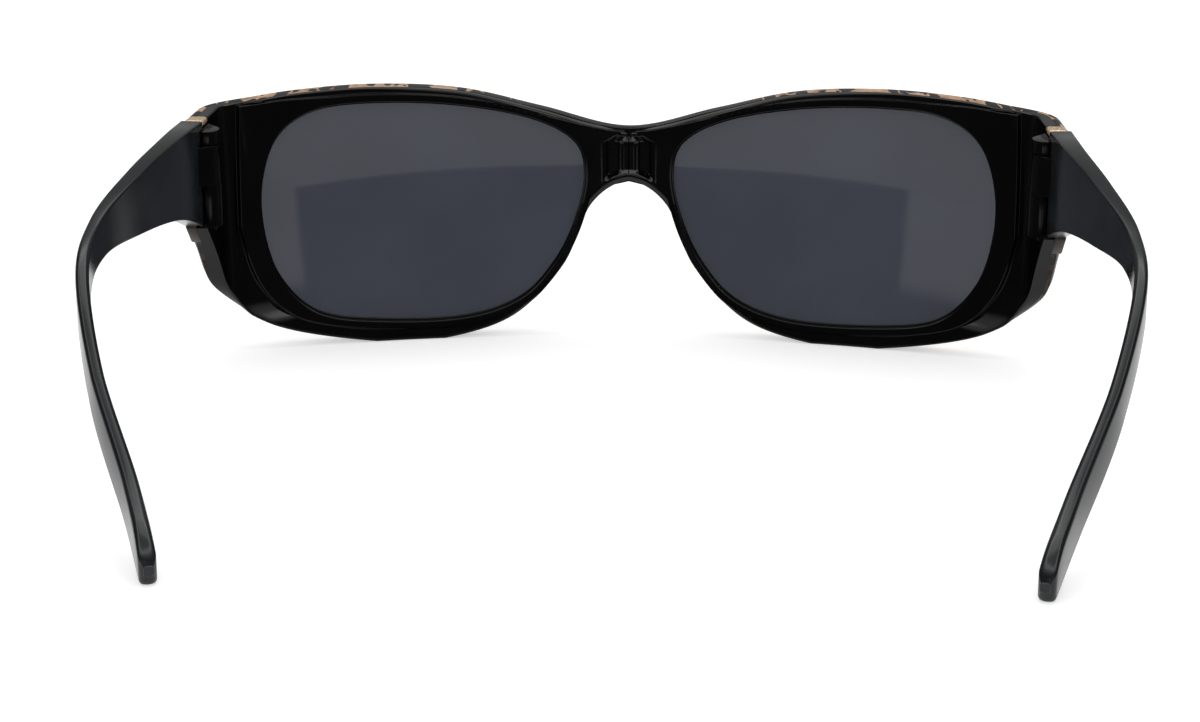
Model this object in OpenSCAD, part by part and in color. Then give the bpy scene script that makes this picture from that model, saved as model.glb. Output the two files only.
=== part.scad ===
// Wrap-style polarized sunglasses: a printed front over a black inner frame, laminated lenses and
// two temples that fold on screwed hinges. Millimetres, +Z up, lenses facing -Y, temples running to +Y.
// The pair stands open on its lower rims and temple tips, with the origin under the middle of its box.

/* [Lenses] */
// Width of a lens opening, along the curved front
lens_w = 58.7; // [52:0.1:62]
// Height of a lens opening
lens_h = 39.5; // [35:0.1:44]
// Gap between the two lens openings at the bridge
lens_gap = 16; // [13:0.1:20]
// Radius of the front and the lenses, level and upright
base_r = 165; // [140:1:220]
// Thickness of the outer lens sheet
sheet_outer_t = 0.7; // [0.5:0.05:0.8]
// Thickness of the polarizing film
film_t = 0.3; // [0.2:0.05:0.4]
// Thickness of the inner lens sheet
sheet_inner_t = 0.8; // [0.5:0.05:0.9]
// How far a lens reaches into its groove, past the edge of the opening
lens_bite = 0.8; // [0.5:0.05:0.9]

/* [Front] */
// Height of the lower rim under a lens opening
rim_low = 3.9; // [3:0.1:5]
// Height of the brow over a lens opening
brow_h = 3; // [2.4:0.1:3.8]
// Drop of the top edge from the brow to the bridge
bridge_dip = 8.3; // [6:0.1:9.5]
// Half width of the flat middle of the bridge
bridge_flat = 6; // [4:0.1:8]
// Height of the bridge
bridge_h = 9.7; // [8:0.1:12]
// Depth of the lens grooves behind the front's face
groove_n0 = 2; // [1.8:0.1:2.1]
// Depth of the whole front at the rims
rim_t = 4.8; // [4.6:0.1:5.5]
// Width of the raised rim beside a lens opening
rim_w = 4.2; // [3:0.1:5]
// Thickness of the side wing
wing_t = 3.8; // [3.6:0.1:4.2]
// Thickness of the printed layer at the rims
print_t = 3.9; // [3.6:0.1:4]
// Thickness of the printed layer on the wing
print_wing_t = 2; // [1.8:0.1:2.1]
// Radius of the printed layer's outer edge
print_edge_r = 1.4; // [1:0.1:1.6]
// Developed width of the wing, from the lens opening to the hinge
wing_w = 22.9; // [20:0.1:26]
// Drop of the top edge from the brow to the hinge
seam_dip = 1.7; // [0.5:0.1:3]
// Height of the wing's end at the hinge
wing_h = 18.8; // [17:0.1:22]
// Length of the straight side wall between the corner and the trim
wall_l = 5.9; // [4:0.1:8]
// Radius of the side corner
corner_r = 9.5; // [8.5:0.1:12]
// Heading of the side wall, from straight across to straight back
wall_angle = 86; // [80:0.5:88]
// Width of the metal trim strip
trim_w = 3.4; // [2.5:0.1:4.5]
// Thickness of the trim's flange over the top of the wing
flange_t = 1; // [0.8:0.1:1.3]

/* [Temples] */
// Overall depth from the bridge to the temple tips
depth = 126; // [118:0.5:132]
// How far a temple bows out past the hinge
temple_bow = 6; // [3:0.1:8]
// How far a temple tip comes in from the hinge
tip_in = 10.4; // [6:0.1:14]
// Thickness of a temple halfway along
temple_t = 2.1; // [1.9:0.1:2.8]
// Thickness of a temple at its tip
tip_t = 2.7; // [2.2:0.1:3.4]
// Height of a temple at its slimmest
temple_h = 5.8; // [5:0.1:7.5]
// Height of the paddle at a temple's tip
tip_h = 6.8; // [6:0.1:8.5]
// Height of the temple's middle line at its flat stretch
temple_z = 38.6; // [37:0.1:40]

/* [Hinges] */
// Radius of the hinge knuckles
knuckle_r = 2; // [1.8:0.05:2.1]
// Height of the temple's middle knuckle
knuckle_h = 6.6; // [5.5:0.1:7.5]
// Depth of the middle knuckle below the top of the wing
knuckle_drop = 3.8; // [3.6:0.2:6]
// Radius of the hinge screw
screw_r = 0.7; // [0.6:0.05:0.8]
// Radius of the hinge screw's head
head_r = 1.25; // [1.1:0.05:1.4]
// Height of the hinge screw's head
head_h = 0.9; // [0.7:0.05:1.1]

/* [Clearances] */
// Gap between the front's end and the temple's end
butt_gap = 0.3; // [0.2:0.05:0.5]
// Gap around a knuckle where it turns in the other part
turn_gap = 0.25; // [0.2:0.05:0.35]
// Gap above and below the middle knuckle
stack_gap = 0.15; // [0.1:0.05:0.25]
// Radial gap of the screw in the temple's knuckle
run_gap = 0.05; // [0.03:0.01:0.08]
// Radial gap of the screw in the front's knuckles
seat_gap = 0.02; // [0.01:0.01:0.04]
// Gap of a glued or clipped joint
glue_gap = 0.05; // [0.03:0.01:0.1]

/* [Hidden] */
$fn = 48;

// Heights and developed positions of the front
open_in = lens_gap / 2;
open_out = open_in + lens_w;
wing_end = open_out + wing_w;
open_mid = [open_in + lens_w / 2, rim_low + lens_h / 2];
top_z = rim_low + lens_h + brow_h;
bridge_z = top_z - bridge_dip;
nose_z = bridge_z - bridge_h;
seam_z = top_z - seam_dip;
wing_z = seam_z - wing_h;
print_end = wing_end - trim_w - glue_gap;

// Lens stack and groove, as depths from the front's face
lens_t = sheet_outer_t + film_t + sheet_inner_t;
groove_gap = 0.1;
groove_n1 = groove_n0 + lens_t + 2 * groove_gap;
groove_d = lens_bite + groove_gap;
sheet_gap = 0.02;

// Plan of the front's face: straight bridge, lens arc, corner arc, straight side wall
corner_s1 = print_end - wall_l;
lens_turn = ((corner_s1 - bridge_flat) * 180 / PI - corner_r * wall_angle) / (base_r - corner_r);
corner_s0 = bridge_flat + base_r * lens_turn * PI / 180;
corner_p0 = [bridge_flat + base_r * sin(lens_turn), base_r * (1 - cos(lens_turn))];
corner_p1 = corner_p0 + corner_r * [sin(wall_angle) - sin(lens_turn), cos(lens_turn) - cos(wall_angle)];
wall_dir = [cos(wall_angle), sin(wall_angle)];
hinge_p = corner_p1 + (wing_end - corner_s1) * wall_dir;

// Hinge axis and knuckle heights
axis_n = wing_t + 0.7;
axis_y = butt_gap / 2;
knuckle_z2 = seam_z - knuckle_drop;
knuckle_z1 = knuckle_z2 - knuckle_h;
knuckle_z0 = wing_z + 0.8;
knuckle_z3 = seam_z - flange_t - 0.4;

// Small steps
eps = 0.01;

// Smooth step from 0 to 1
function smooth(t) = let (c = min(max(t, 0), 1)) c * c * (3 - 2 * c);

// Point between two points
function mix(a, b, t) = a + (b - a) * t;

// Unit vector
function unit(v) = v / max(norm(v), 0.000001);

// Catmull-Rom blend of four neighbours, and its slope
function blend(a, b, c, d, t) =
  0.5 * (2 * b + (c - a) * t + (2 * a - 5 * b + 4 * c - d) * t * t + (3 * b - a - 3 * c + d) * t * t * t);
function blend_slope(a, b, c, d, t) =
  0.5 * ((c - a) + 2 * (2 * a - 5 * b + 4 * c - d) * t + 3 * (3 * b - a - 3 * c + d) * t * t);

// Neighbours of a span on an open run of points, with given points before and after it
function around(p, before, after, k) = [
  k == 0 ? before : p[k - 1], p[k], p[k + 1],
  k + 2 < len(p) ? p[k + 2] : after
];
function open_span(p, w) = min(floor(w), len(p) - 2);
function open_point(p, before, after, w) =
  let (k = open_span(p, w), q = around(p, before, after, k)) blend(q[0], q[1], q[2], q[3], w - k);
function open_slope(p, before, after, w) =
  let (k = open_span(p, w), q = around(p, before, after, k)) blend_slope(q[0], q[1], q[2], q[3], w - k);

// Lens opening, from the nose up over the brow and round, in half widths and half heights
opening = [
  [-1, 0.33], [-0.93, 0.62], [-0.66, 0.825], [-0.2, 0.955], [0.3, 1], [0.66, 0.955], [0.89, 0.74],
  [0.99, 0.33], [0.985, -0.13], [0.89, -0.56], [0.66, -0.885], [0.25, -0.99], [-0.25, -0.985],
  [-0.6, -0.82], [-0.82, -0.48], [-0.95, -0.07]
];
turns = len(opening);
function opening_near(u, i) = opening[(floor(u) + i + turns) % turns];
function to_opening(q) = [open_mid.x + q.x * lens_w / 2, open_mid.y + q.y * lens_h / 2];
function open_at(u) = to_opening(
  blend(opening_near(u, -1), opening_near(u, 0), opening_near(u, 1), opening_near(u, 2), u - floor(u)));
function open_normal(u) =
  let (
    q = blend_slope(opening_near(u, -1), opening_near(u, 0), opening_near(u, 1), opening_near(u, 2),
                    u - floor(u)),
    t = unit([q.x * lens_w, q.y * lens_h])
  ) [-t.y, t.x];

// Top edge of the front from the middle to the hinge, and its lower edge from the hinge to the nose
function brow_line(end) = [
  [0, bridge_z], [open_in + 0.13 * lens_w, top_z - 0.566 * bridge_dip],
  [open_in + 0.375 * lens_w, top_z - 0.145 * bridge_dip], [open_in + 0.64 * lens_w, top_z],
  [open_in + 0.886 * lens_w, top_z - 0.235 * seam_dip], [open_out + 0.28 * wing_w, top_z - 0.94 * seam_dip],
  [end, seam_z]
];
wing_mid = [open_out + 0.74 * wing_w, wing_z - 0.38 * wing_h];
function low_z(end) = wing_z + (wing_mid.y - wing_z) * (wing_end - end) / (wing_end - wing_mid.x);
function low_line(end) = [
  [end, low_z(end)], wing_mid, [open_out + 0.42 * wing_w, rim_low + 0.19 * lens_h],
  [open_out - 0.0375 * lens_w, rim_low], [open_in + 0.655 * lens_w, 0], [open_in + 0.44 * lens_w, 0],
  [open_in + 0.22 * lens_w, rim_low], [open_in + 0.065 * lens_w, rim_low + 0.23 * lens_h],
  [0.83 * open_in, rim_low + 0.515 * lens_h], [0, nose_z]
];

// Where the outline's corners sit on the count of the opening's points
u_bridge = 1;
u_seam = 6;
u_wing = 8;
u_nose = 15.5;

function flip(q) = [-q.x, q.y];
function brow_w(u) = u < 5 ? u - 1 : 4 + (u - 5) * 2;
function low_w(u) = u < 9 ? (u - 8) * 2 : u < 15 ? 2 + (u - 9) : 8 + (u - 15) * 2;
function past_end(p) = 2 * p[len(p) - 1] - p[len(p) - 2];
function before_start(p) = 2 * p[0] - p[1];
function on_brow(u) = u >= u_bridge && u <= u_seam;
function on_end(u) = u > u_seam && u < u_wing;
function on_low(u) = u >= u_wing && u <= u_nose;
function on_middle(u) = u < u_bridge || u > u_nose;

// Outline point and the direction inwards from its edge, for a front that ends at a given distance
function middle_z(u, r) =
  let (t = ((u < u_bridge ? u + turns : u) - u_nose) / (turns + u_bridge - u_nose))
  mix(nose_z + r + 0.3, bridge_z - r - 0.3, t);
function outline(u, end) =
  on_middle(u) ? [0, middle_z(u, print_edge_r)] :
  on_brow(u) ? let (p = brow_line(end)) open_point(p, flip(p[1]), past_end(p), brow_w(u)) :
  on_end(u) ? mix([end, seam_z], [end, low_z(end)], (u - u_seam) / (u_wing - u_seam)) :
  let (p = low_line(end), q = open_point(p, before_start(p), flip(p[8]), low_w(u))) [q.x, max(q.y, 0)];
function edge_in(u, end) =
  on_middle(u) || on_end(u) ? [0, 0] :
  u == u_seam ? [0, -1] :
  u == u_wing ? [0, 1] :
  let (
    p = on_brow(u) ? brow_line(end) : low_line(end),
    t = on_brow(u) ? unit(open_slope(p, flip(p[1]), past_end(p), brow_w(u)))
                   : unit(open_slope(p, before_start(p), flip(p[8]), low_w(u)))
  ) [t.y, -t.x];

// Plan point and heading at a developed distance, then a point of the curved front
function heading(s) =
  s < bridge_flat ? 0 :
  s < corner_s0 ? (s - bridge_flat) / base_r * 180 / PI :
  s < corner_s1 ? lens_turn + (s - corner_s0) / corner_r * 180 / PI : wall_angle;
function plan(s) =
  let (a = heading(s))
  s < bridge_flat ? [s, 0] :
  s < corner_s0 ? [bridge_flat + base_r * sin(a), base_r * (1 - cos(a))] :
  s < corner_s1 ? corner_p0 + corner_r * [sin(a) - sin(lens_turn), cos(lens_turn) - cos(a)] :
  corner_p1 + (s - corner_s1) * wall_dir;
function crown(s, z) =
  pow(z - open_mid.y, 2) / (2 * base_r) * (1 - smooth((s - open_out) / (0.6 * wing_w)));
function place(q, n) =
  let (a = heading(q.x), m = n + crown(q.x, q.y), p = plan(q.x) + m * [-sin(a), cos(a)])
  [p.x, p.y, q.y];

// Depth of the joint between the two layers, thinner on the wing
function split_n(s) = mix(print_t, print_wing_t, smooth((s - open_out - 1) / (0.4 * wing_w)));

// Count of steps on each span of the opening's points, and the stations that they make
steps = [3, 3, 3, 3, 3, 10, 4, 4, 8, 4, 3, 3, 3, 3, 4, 8];
stations = [for (k = [0:turns - 1]) for (i = [0:steps[k] - 1]) k + i / steps[k]];
cross_steps = 7;

// Edge of the raised rim at a station, on the line from the opening to the outline
function rim_edge(a, o) = mix(a, o, min(rim_w / norm(o - a), 0.5));

// Section of the printed layer at a station: [point on the sheet, depth]
function print_section(u) =
  let (
    end = print_end, a = open_at(u), na = open_normal(u), o = outline(u, end), e = edge_in(u, end),
    b = rim_edge(a, o), r = print_edge_r, f = o + e * r
  ) concat(
    [[a, groove_n0], [a, r / 2], [a + na * r * 0.18, r * 0.15], [a + na * r * 0.57, 0]],
    [for (i = [0:cross_steps]) [mix(b, f, i / cross_steps), 0]],
    [[o + e * r * 0.5, r * 0.134], [o + e * r * 0.134, r * 0.5], [o, r]],
    [for (i = [cross_steps:-1:0]) let (q = mix(b, o, i / cross_steps)) [q, split_n(q.x) - glue_gap / 2]],
    [[a + na * groove_d, print_t - glue_gap / 2], [a + na * groove_d, groove_n0]]
  );
print_edge0 = 4 + cross_steps;
print_edge1 = print_edge0 + 4;

// Depth of the inner face past the rim: it steps down where the wing is wide
edge_r = 0.5;
function wing_step(u, end) =
  (rim_t - wing_t) * smooth(norm(outline(u, end) - open_at(u)) / rim_w - 1.67);

// Section of the black inner layer at a station: [point on the sheet, depth]
function frame_section(u) =
  let (
    end = wing_end, a = open_at(u), na = open_normal(u), o = outline(u, end), e = edge_in(u, end),
    b = rim_edge(a, o), r = edge_r, f = o + e * r, back = rim_t - wing_step(u, end),
    step = min(r / norm(f - b), 0.5)
  ) concat(
    [[a, groove_n1], [a + na * groove_d, groove_n1], [a + na * groove_d, print_t + glue_gap / 2]],
    [for (i = [0:cross_steps]) let (q = mix(b, o, i / cross_steps)) [q, split_n(q.x) + glue_gap / 2]],
    [[o + e * r * 0.25, back - r]],
    [for (i = [cross_steps:-1:1]) [mix(b, f, i / cross_steps), back]],
    [[mix(b, f, step), back], [b, rim_t], [a + na * 1.2 * r, rim_t], [a + na * 0.3 * r, rim_t - 0.4 * r],
     [a, rim_t - r]]
  );
frame_edge0 = 3 + cross_steps;
frame_edge1 = frame_edge0 + 2;

// Closed band of sections round one opening, left open where it meets its mirror image
function quad(a, b, c, d) = [[a, b, c], [a, c, d]];
function turned(f) = [f[0], f[2], f[1]];
function mirrored(p) = [0 - p.x, p.y, p.z];
function between_corners(u, v) = (on_middle(u) || u == u_nose) && (on_middle(v) || v == u_bridge);
module both_halves(sections, edge0, edge1) {
  n = len(sections);
  m = len(sections[0]);
  points = [for (sec = sections) for (q = sec) place(q[0], q[1])];
  faces = [
    for (i = [0:n - 1]) for (j = [0:m - 1])
      let (i2 = (i + 1) % n, j2 = (j + 1) % m,
           inner = j >= edge0 && j < edge1 && between_corners(stations[i], stations[i2]))
      if (!inner) each quad(i * m + j, i * m + j2, i2 * m + j2, i2 * m + j)
  ];
  shift = n * m;
  polyhedron(
    points = concat(points, [for (p = points) mirrored(p)]),
    faces = concat(faces, [for (f = faces) turned(f + [shift, shift, shift])]),
    convexity = 8
  );
}

// Frame of reference at the hinge: origin on the wing's outer face, +Y back along the wall, -X inwards
module at_hinge() {
  translate([hinge_p.x, hinge_p.y, 0]) rotate([0, 0, wall_angle - 90]) children();
}
module at_axis(z) {
  at_hinge() translate([-axis_n, axis_y, z]) children();
}
module both_sides() {
  children();
  mirror([1, 0, 0]) children();
}
module placed() {
  translate([0, -depth / 2, 0]) children();
}

// Web that carries a knuckle, on the front's side (-1) or the temple's side (+1) of the axis
module knuckle(z0, z1, side) {
  reach = axis_n + knuckle_r;
  root = side < 0 ? mix(print_wing_t, wing_t, 0.6) : wing_t / 2;
  at_axis(z0) cylinder(r = knuckle_r, h = z1 - z0);
  at_hinge() translate([0, 0, z0]) linear_extrude(height = z1 - z0)
    polygon([[-root, side * 8], [-reach, side * 1.6], [-reach, axis_y], [-root, axis_y]]);
}

module front_frame() {
  color([0.05, 0.05, 0.055]) placed() difference() {
    union() {
      both_halves([for (u = stations) frame_section(u)], frame_edge0, frame_edge1);
      both_sides() {
        knuckle(knuckle_z0, knuckle_z1 - stack_gap, -1);
        knuckle(knuckle_z2 + stack_gap, knuckle_z3, -1);
      }
    }
    both_sides() {
      at_axis(knuckle_z1 - stack_gap) cylinder(r = knuckle_r + turn_gap, h = knuckle_h + 2 * stack_gap);
      at_axis(knuckle_z0 - eps) cylinder(r = screw_r + seat_gap, h = knuckle_z3 - knuckle_z0 - 0.6);
      at_axis(knuckle_z0 - eps) cylinder(r = head_r + seat_gap, h = head_h + glue_gap);
      at_hinge() translate([-8, -trim_w - glue_gap, seam_z - flange_t - glue_gap]) cube([9, 8, 5]);
    }
  }
}

module front_print() {
  color([0.62, 0.43, 0.28]) placed()
    both_halves([for (u = stations) print_section(u)], print_edge0, print_edge1);
}

// Trim strip: a plate on the wing's outer face with a flange over its top edge
module trim() {
  r = print_edge_r;
  color([0.83, 0.69, 0.45]) placed() at_hinge() difference() {
    rotate([90, 0, -90]) linear_extrude(height = wing_t)
      polygon([[0, wing_z], [0, seam_z], [trim_w, seam_z], [trim_w, low_z(wing_end - trim_w)]]);
    translate([-wing_t - 1, -trim_w - 1, 0])
      cube([wing_t + 1 - print_wing_t + glue_gap / 2, trim_w + 2, seam_z - flange_t]);
    translate([-r, 1, seam_z - r]) rotate([90, 0, 0]) difference() {
      cube([r + 1, r + 1, trim_w + 2]);
      translate([0, 0, -1]) cylinder(r = r, h = trim_w + 4);
    }
  }
}
module trim_left() {
  trim();
}
module trim_right() {
  mirror([1, 0, 0]) trim();
}

// One sheet of a lens between two depths, as rings round the middle of the opening
lens_rings = [0.34, 0.67, 1];
lens_steps = 3;
module lens_sheet(n0, n1) {
  us = [for (k = [0:turns - 1]) for (i = [0:lens_steps - 1]) k + i / lens_steps];
  rim = [for (u = us) open_at(u) + open_normal(u) * lens_bite];
  n = len(rim);
  rings = len(lens_rings);
  function layer(depth_n) = concat(
    [place(open_mid, depth_n)],
    [for (f = lens_rings) for (q = rim) place(mix(open_mid, q, f), depth_n)]);
  function at(i, k) = 1 + k * n + (i % n);
  half = 1 + rings * n;
  face = concat(
    [for (i = [0:n - 1]) [0, at(i, 0), at(i + 1, 0)]],
    [for (k = [0:rings - 2]) for (i = [0:n - 1])
      each quad(at(i, k), at(i, k + 1), at(i + 1, k + 1), at(i + 1, k))]);
  wall = [for (i = [0:n - 1])
    each quad(at(i, rings - 1), half + at(i, rings - 1), half + at(i + 1, rings - 1), at(i + 1, rings - 1))];
  polyhedron(
    points = concat(layer(n0), layer(n1)),
    faces = concat(face, [for (f = face) turned(f + [half, half, half])], wall),
    convexity = 4
  );
}
lens_n0 = groove_n0 + groove_gap;
film_n0 = lens_n0 + sheet_outer_t;
inner_n0 = film_n0 + film_t;
module lens_outer() {
  color([0.3, 0.32, 0.34, 0.8]) placed() lens_sheet(lens_n0, film_n0 - sheet_gap);
}
module lens_film() {
  color([0.2, 0.22, 0.26, 0.9]) placed() lens_sheet(film_n0, inner_n0 - sheet_gap);
}
module lens_inner() {
  color([0.3, 0.32, 0.34, 0.8]) placed() lens_sheet(inner_n0, inner_n0 + sheet_inner_t);
}
module lens_left_outer() {
  lens_outer();
}
module lens_left_film() {
  lens_film();
}
module lens_left_inner() {
  lens_inner();
}
module lens_right_outer() {
  mirror([1, 0, 0]) lens_outer();
}
module lens_right_film() {
  mirror([1, 0, 0]) lens_film();
}
module lens_right_inner() {
  mirror([1, 0, 0]) lens_inner();
}

// Route of a temple's outer face: [x, y, height of the middle line], height and thickness on the way
temple_y0 = hinge_p.y + butt_gap * sin(wall_angle);
temple_x0 = hinge_p.x + butt_gap * cos(wall_angle);
reach = depth - temple_y0;
tip_z = 0.34 * tip_h;
drop = temple_z - tip_z;
function route_point(out, back, down) = [
  temple_x0 + (out > 0 ? out * temple_bow : out * tip_in), temple_y0 + back * reach, temple_z - down * drop
];
temple_route = [
  [temple_x0, temple_y0, (seam_z + wing_z) / 2 + 0.2],
  route_point(0.07, 0.16, 0),
  route_point(0.5, 0.315, 0),
  route_point(0.965, 0.464, 0.05),
  route_point(0.93, 0.596, 0.17),
  route_point(0.2, 0.737, 0.486),
  route_point(-0.54, 0.868, 0.834),
  route_point(-1, 1, 1)
];
temple_sizes = [
  [wing_h - 0.4, wing_t], [0.73 * wing_h, 0.87 * wing_t], [0.53 * wing_h, temple_t + 0.7],
  [1.12 * temple_h, temple_t + 0.1], [temple_h, temple_t], [mix(temple_h, tip_h, 0.2), temple_t],
  [mix(temple_h, tip_h, 0.8), mix(temple_t, tip_t, 0.6)], [tip_h, tip_t]
];
temple_steps = 5;
route_spans = len(temple_route) - 1;
function route_at(w) = open_point(temple_route, before_start(temple_route), past_end(temple_route), w);
function route_slope(w) = open_slope(temple_route, before_start(temple_route), past_end(temple_route), w);
function sizes_at(w) = open_point(temple_sizes, before_start(temple_sizes), past_end(temple_sizes), w);

// Rounded end of the paddle: share of the full height left at a distance from the tip
tip_round = 0.34 * tip_h;
function tip_share(d) = d > tip_round ? 1 : sqrt(max(1 - pow(1 - d / tip_round, 2), 0.04));

// Section of a temple: a rectangle with rounded corners, [inwards, upwards]
function rounded(w, h, r) = [
  for (c = [[1, 1, 0], [0, 1, 90], [0, 0, 180], [1, 0, 270]]) for (a = [0, 45, 90])
    [r + c[0] * (w - 2 * r) + r * cos(c[2] + a), (c[1] - 0.5) * (h - 2 * r) + r * sin(c[2] + a)]
];
function temple_section(w) =
  let (
    p = route_at(w), g = route_slope(w), size = sizes_at(w),
    t = w == 0 ? wall_dir : unit([g.x, g.y]),
    rise = g.z / norm([g.x, g.y]) * smooth(w / 2) * smooth(route_spans - w),
    up = unit([-rise * t.x, -rise * t.y, 1]),
    along = norm(p - temple_route[route_spans]),
    share = w > route_spans - 1 ? tip_share(along) : 1,
    r = min(0.7, 0.28 * size[1])
  ) [
    for (q = rounded(size[1], size[0] * share, r))
      let (c = p + [-t.y, t.x, 0] * q[0] + up * q[1]) [c.x, c.y, max(c.z, 0)]
  ];
tip_stations = [0.3, 0.6, 0.72, 0.82, 0.9, 0.96, 1];
temple_stations = concat(
  [for (k = [0:route_spans - 2]) for (i = [0:temple_steps - 1]) k + i / temple_steps],
  [route_spans - 1],
  [for (t = tip_stations) route_spans - 1 + t]
);
module temple_blank() {
  rings = [for (w = temple_stations) temple_section(w)];
  n = len(rings);
  m = len(rings[0]);
  polyhedron(
    points = [for (ring = rings) each ring],
    faces = concat(
      [for (i = [0:n - 2]) for (j = [0:m - 1])
        each quad(i * m + j, (i + 1) * m + j, (i + 1) * m + (j + 1) % m, i * m + (j + 1) % m)],
      [for (j = [1:m - 2]) [0, j, j + 1]],
      [for (j = [1:m - 2]) [(n - 1) * m, (n - 1) * m + j + 1, (n - 1) * m + j]]
    ),
    convexity = 4
  );
}

// Window in the middle knuckle through which the screw shows
window_size = [0.9, 2.4];
module temple() {
  color([0.06, 0.06, 0.07]) placed() difference() {
    union() {
      difference() {
        temple_blank();
        at_axis(0) cylinder(r = knuckle_r + turn_gap, h = knuckle_z1);
        at_axis(knuckle_z2) cylinder(r = knuckle_r + turn_gap, h = knuckle_z3 + stack_gap - knuckle_z2);
      }
      knuckle(knuckle_z1, knuckle_z2, 1);
    }
    at_axis(knuckle_z1 - 1) cylinder(r = screw_r + run_gap, h = knuckle_h + 2);
    at_axis(knuckle_z1 + 0.8) translate([-4, 0.1, 0]) cube([4, window_size.x, window_size.y]);
  }
}
module temple_left() {
  temple();
}
module temple_right() {
  mirror([1, 0, 0]) temple();
}

// Hinge screw with a slotted head, driven in from below
module hinge_screw() {
  color([0.75, 0.76, 0.78]) placed() at_axis(knuckle_z0) difference() {
    union() {
      cylinder(r = screw_r, h = knuckle_z3 - knuckle_z0 - 0.8);
      cylinder(r = head_r, h = head_h);
    }
    translate([-2, -0.15, -1]) cube([4, 0.3, 1.35]);
  }
}
module hinge_screw_left() {
  hinge_screw();
}
module hinge_screw_right() {
  mirror([1, 0, 0]) hinge_screw();
}

front_frame();
front_print();
trim_left();
trim_right();
lens_left_outer();
lens_left_film();
lens_left_inner();
lens_right_outer();
lens_right_film();
lens_right_inner();
temple_left();
temple_right();
hinge_screw_left();
hinge_screw_right();
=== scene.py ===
"""Looks of the wrap-style polarized sunglasses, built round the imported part.

The front, the print, the lenses and the temples are finer meshes on the same curves as the solids.
Lengths are in millimetres until to_metres() brings a point into the part's frame.
The front is drawn flat, as [along, up] and the depth n behind its face, and place() bends it.
A station u is a place on the rim of the lens opening, counted in the points of OPENING.
"""

import math

import bmesh
import bpy
import numpy as np
from mathutils import Matrix, Vector


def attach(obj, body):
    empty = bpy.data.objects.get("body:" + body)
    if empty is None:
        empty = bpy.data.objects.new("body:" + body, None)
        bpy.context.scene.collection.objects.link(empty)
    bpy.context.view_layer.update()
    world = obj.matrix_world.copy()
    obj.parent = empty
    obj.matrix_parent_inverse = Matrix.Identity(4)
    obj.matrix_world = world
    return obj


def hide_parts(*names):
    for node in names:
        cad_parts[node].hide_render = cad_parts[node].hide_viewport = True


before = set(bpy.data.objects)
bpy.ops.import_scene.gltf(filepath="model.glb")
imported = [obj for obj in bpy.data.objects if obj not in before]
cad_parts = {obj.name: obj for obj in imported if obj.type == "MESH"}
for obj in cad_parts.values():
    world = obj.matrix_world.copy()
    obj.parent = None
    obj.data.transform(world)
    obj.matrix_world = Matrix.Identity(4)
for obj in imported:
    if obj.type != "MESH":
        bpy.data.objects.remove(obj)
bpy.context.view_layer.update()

MM_PER_M = 1000

# Sizes of the front in mm
LENS_W = 58.7
LENS_H = 39.5
LENS_GAP = 16.0
LENS_BITE = 0.8
LENS_PLAY = 0.1
LENS_OUTER_T = 0.6
LENS_INNER_N = 1.1
LENS_T = 1.8
BASE_R = 165.0
RIM_LOW = 3.9
BROW_H = 3.0
BROW_LEDGE = 1.5
BRIDGE_DIP = 8.3
BRIDGE_FLAT = 6.0
BRIDGE_H = 9.7
GROOVE_N0 = 2.0
GROOVE_W = 2.0
GROOVE_D = 0.9
RIM_T = 4.8
RIM_W = 4.2
RIM_STEP = 0.3
RIM_REACH = 4.9
PRINT_T = 3.9
PRINT_WING_T = 2.0
PRINT_LOW_T = 0.7
PRINT_EDGE_R = 1.4
SPLIT_START = 1
MIDDLE_MARGIN = 0.3
WING_T = 3.8
WING_W = 22.9
WING_H = 18.8
SEAM_DIP = 1.7
WALL_L = 5.9
WALL_ANGLE = math.radians(86)
CORNER_R = 9.5
TRIM_W = 3.4
FLANGE_T = 1.0
FLANGE_R = 0.45
TRIM_ROUND = 0.25
SLOT_IN = -8
SLOT_OUT = 1
SLOT_L = 8
SLOT_H = 5
GLUE_GAP = 0.05

# Sizes of the temples and the hinges in mm
DEPTH = 126.0
TEMPLE_BOW = 6.0
TIP_IN = 10.4
TEMPLE_T = 2.1
TIP_T = 2.7
TEMPLE_H = 5.8
TIP_H = 6.8
TEMPLE_Z = 38.6
TEMPLE_EDGE_R = 0.35
TIP_TOP_L = 7.0
TIP_SIDE_L = 1.6
AXIS_IN = 0.7
KNUCKLE_R = 2.0
KNUCKLE_H = 6.6
KNUCKLE_DROP = 3.8
KNUCKLE_FOOT = 0.8
KNUCKLE_HEAD = 0.4
KNUCKLE_ROUND = 0.4
WEB_SINK = 0.6
WEB_REACH = 5.5
WEB_FOOT = 0.6
BUTT_GAP = 0.3
TURN_GAP = 0.25
STACK_GAP = 0.15

# Shares of the wing's width over which the crown and the split fade, of the brow that its ledge
# may take, and of the thickness that is left at a temple's tip
CROWN_FADE = 0.6
SPLIT_FADE = 0.4
BROW_LEDGE_MOST = 0.45
TIP_SIDE_LEAST = 0.55

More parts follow.
